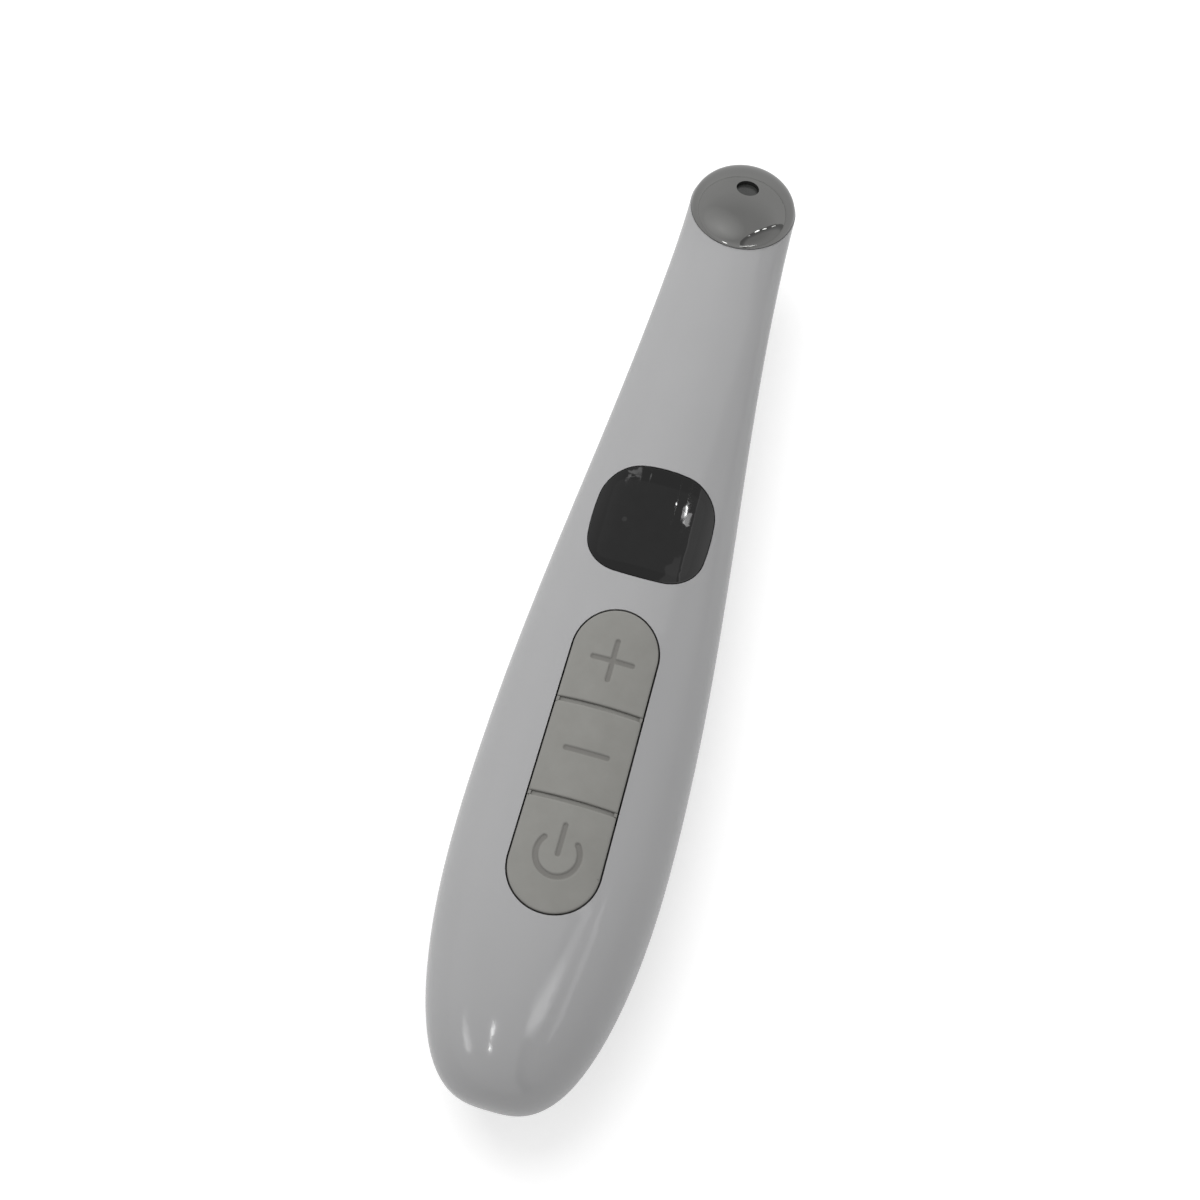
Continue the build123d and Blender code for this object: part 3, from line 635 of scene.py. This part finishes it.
def make_world():
    """White room for the camera, over an even dimmer light.

    Seen in gloss, the room has a greyer ceiling and a dark round patch on one wall."""
    world = bpy.data.worlds.new("room")
    bpy.context.scene.world = world
    world.use_nodes = True
    tree = world.node_tree
    tree.nodes.clear()
    output = tree.nodes.new("ShaderNodeOutputWorld")
    even = tree.nodes.new("ShaderNodeBackground")
    even.inputs["Strength"].default_value = world_diffuse
    even.inputs["Color"].default_value = (1, 1, 1, 1)
    room = tree.nodes.new("ShaderNodeBackground")
    room.inputs["Color"].default_value = (1, 1, 1, 1)
    place = tree.nodes.new("ShaderNodeTexCoord")
    parts = tree.nodes.new("ShaderNodeSeparateXYZ")
    tree.links.new(place.outputs["Generated"], parts.inputs["Vector"])
    ceiling = ramp(tree, parts.outputs["Z"], ceiling_from, ceiling_to, 1.0, ceiling_grey, "SMOOTHSTEP")
    tone = maths(tree, "MULTIPLY", ceiling, dark_wall(tree, place.outputs["Generated"]))
    path = tree.nodes.new("ShaderNodeLightPath")
    white = maths(tree, "MAXIMUM", path.outputs["Is Camera Ray"], tone)
    tree.links.new(white, room.inputs["Strength"])
    mix = tree.nodes.new("ShaderNodeMixShader")
    tree.links.new(seen_directly(tree), mix.inputs["Fac"])
    tree.links.new(even.outputs[0], mix.inputs[1])
    tree.links.new(room.outputs[0], mix.inputs[2])
    tree.links.new(mix.outputs[0], output.inputs["Surface"])


def lamp(name, towards, width, height, radiance, along=(0, 0, 1), shape="ELLIPSE", in_gloss=True,
         in_diffuse=True, lit=(), spread_angle=pi):
    """Soft patch of light in a direction from the object, with its height turned along a line.

    It lights only the pieces named in lit, or all of them where none is named. With a spread
    angle under pi it is brightest in the middle and fades out."""
    light = bpy.data.lights.new(name, "AREA")
    light.shape = shape
    light.size, light.size_y = width, height
    light.spread = spread_angle
    light.energy = radiance * pi * width * height
    body = bpy.data.objects.new(name, light)
    bpy.context.scene.collection.objects.link(body)
    back = Vector(towards).normalized()
    up = Vector(along)
    up = (up - back * back.dot(up)).normalized()
    turn = Matrix((up.cross(back), up, back)).transposed().to_4x4()
    body.matrix_world = Matrix.Translation(back * lamp_distance) @ turn
    body.visible_camera = False
    body.visible_glossy = in_gloss
    body.visible_diffuse = in_diffuse
    if lit:
        group = bpy.data.collections.new("lit_by_" + name)
        for node in lit:
            group.objects.link(nodes[node])
        body.light_linking.receiver_collection = group


def make_lamps():
    """A softbox for the form, and panes seen in the gloss alone.

    A row of the panes gives the name, direction, width, height, radiance, the line that the
    height follows and the pieces that show it."""
    lamp("softbox", towards=(-0.33, 0.47, 0.82), width=0.85, height=0.85, radiance=3.4,
         shape="RECTANGLE", in_gloss=False)
    shells, window, cap = ("front_housing", "back_housing"), ("display_lens",), ("head_cap",)
    for name, towards, width, height, radiance, along, lit in (
            ("streak_wide", (0.4, -0.39, 0.83), 0.36, 0.6, 1.0, (0.3, 0.5, 0), shells),
            ("streak_core", (0.385, -0.42, 0.825), 0.2, 0.46, 1.4, (0.3, 0.5, 0), shells),
            ("streak_tail", (0.56, -0.1, 0.82), 0.16, 0.55, 0.7, (0.3, 0.5, 0), shells),
            ("streak_thin", (0.74, -0.26, 0.62), 0.13, 0.85, 0.9, (0.05, 1, 0), shells),
            ("pane_high", (-0.285, -0.602, 0.746), 0.11, 0.04, 22.0, (0, 0, 1), shells),
            ("pane_middle", (-0.276, -0.642, 0.714), 0.06, 0.035, 18.0, (0.2, 0, 1), shells),
            ("pane_low", (-0.248, -0.724, 0.644), 0.1, 0.05, 22.0, (0.3, 0, 1), shells),
            ("pane_left", (-0.665, -0.629, 0.404), 0.42, 0.15, 1.6, (0, 0, 1), shells),
            ("pane_left_low", (-0.645, -0.665, 0.375), 0.3, 0.04, 3.0, (0, 0, 1), shells),
            ("pane_back", (0.43, 0.4015, 0.815), 0.06, 0.003, 45.0, (0, 1, 0), window),
            ("pane_below", (0.455, 0.3995, 0.8), 0.22, 0.006, 6.0, (0, 1, 0), window),
            ("pane_corner", (0.25, 0.397, 0.88), 0.03, 0.006, 30.0, (0, 1, 0), window),
            ("pane_far_left", (-0.523, 0.4105, 0.75), 0.34, 0.004, 2.0, (0, 1, 0), window),
            ("pane_far_dot", (-0.264, 0.4085, 0.876), 0.03, 0.004, 2.0, (0, 1, 0), window),
            ("edge_low", (0.413, 0.016, 0.911), 0.03, 0.12, 3.0, (0.1, 0.28, -0.1), cap),
            ("edge_middle", (0.508, 0.298, 0.808), 0.05, 0.2, 8.0, (0.11, 0.2, -0.12), cap),
            ("edge_high", (0.619, 0.423, 0.661), 0.04, 0.14, 5.0, (0.11, 0.12, -0.15), cap),
            ("edge_top", (0.731, 0.527, 0.435), 0.03, 0.14, 3.0, (0.11, 0.1, -0.23), cap),
            ("cap_bright", (-0.33, -0.9, 0.28), 0.3, 0.14, 5.0, (0, 0, 1), cap),
            ("cap_line", (0.6, -0.74, 0.31), 0.9, 0.05, 5.0, (0, 0, 1), cap)):
        lamp(name, towards, width, height, radiance, along, in_diffuse=False, lit=lit)
    lamp("cap_glow", towards=(-0.49, -0.04, 0.87), width=2.4, height=2.4, radiance=0.09,
         along=(0, 1, 0), in_diffuse=False, lit=cap, spread_angle=radians(90))
    lamp("wall_right", towards=(1.092, -0.327, 0.405), width=2.82, height=2.82, radiance=0.74,
         in_diffuse=False, lit=window)
    lamp("wall_low", towards=(0.43, 0.257, 0.904), width=0.38, height=0.3, radiance=0.38,
         along=(-0.1, 1, 0), shape="RECTANGLE", in_diffuse=False, lit=window)


def make_camera():
    """Camera at the photograph's angle."""
    back = Matrix.Rotation(camera_side, 3, "Y") @ Vector((0, -sin(camera_tilt), cos(camera_tilt)))
    north = Vector((0, 1, 0))
    level_up = (north - back * back.dot(north)).normalized()
    level_right = level_up.cross(back)
    up = level_up * cos(camera_roll) - level_right * sin(camera_roll)
    right = level_right * cos(camera_roll) + level_up * sin(camera_roll)
    data = bpy.data.cameras.new("camera")
    data.lens = camera_lens
    data.sensor_width = sensor_width
    data.clip_start = camera_near
    body = bpy.data.objects.new("camera", data)
    bpy.context.scene.collection.objects.link(body)
    turn = Matrix((right, up, back)).transposed().to_4x4()
    body.matrix_world = Matrix.Translation(camera_target + back * camera_distance) @ turn
    bpy.context.scene.camera = body


make_camera()
make_world()
make_lamps()
make_floor()
paint_frame()
make_keys()

bpy.context.scene.view_settings.view_transform = "Standard"
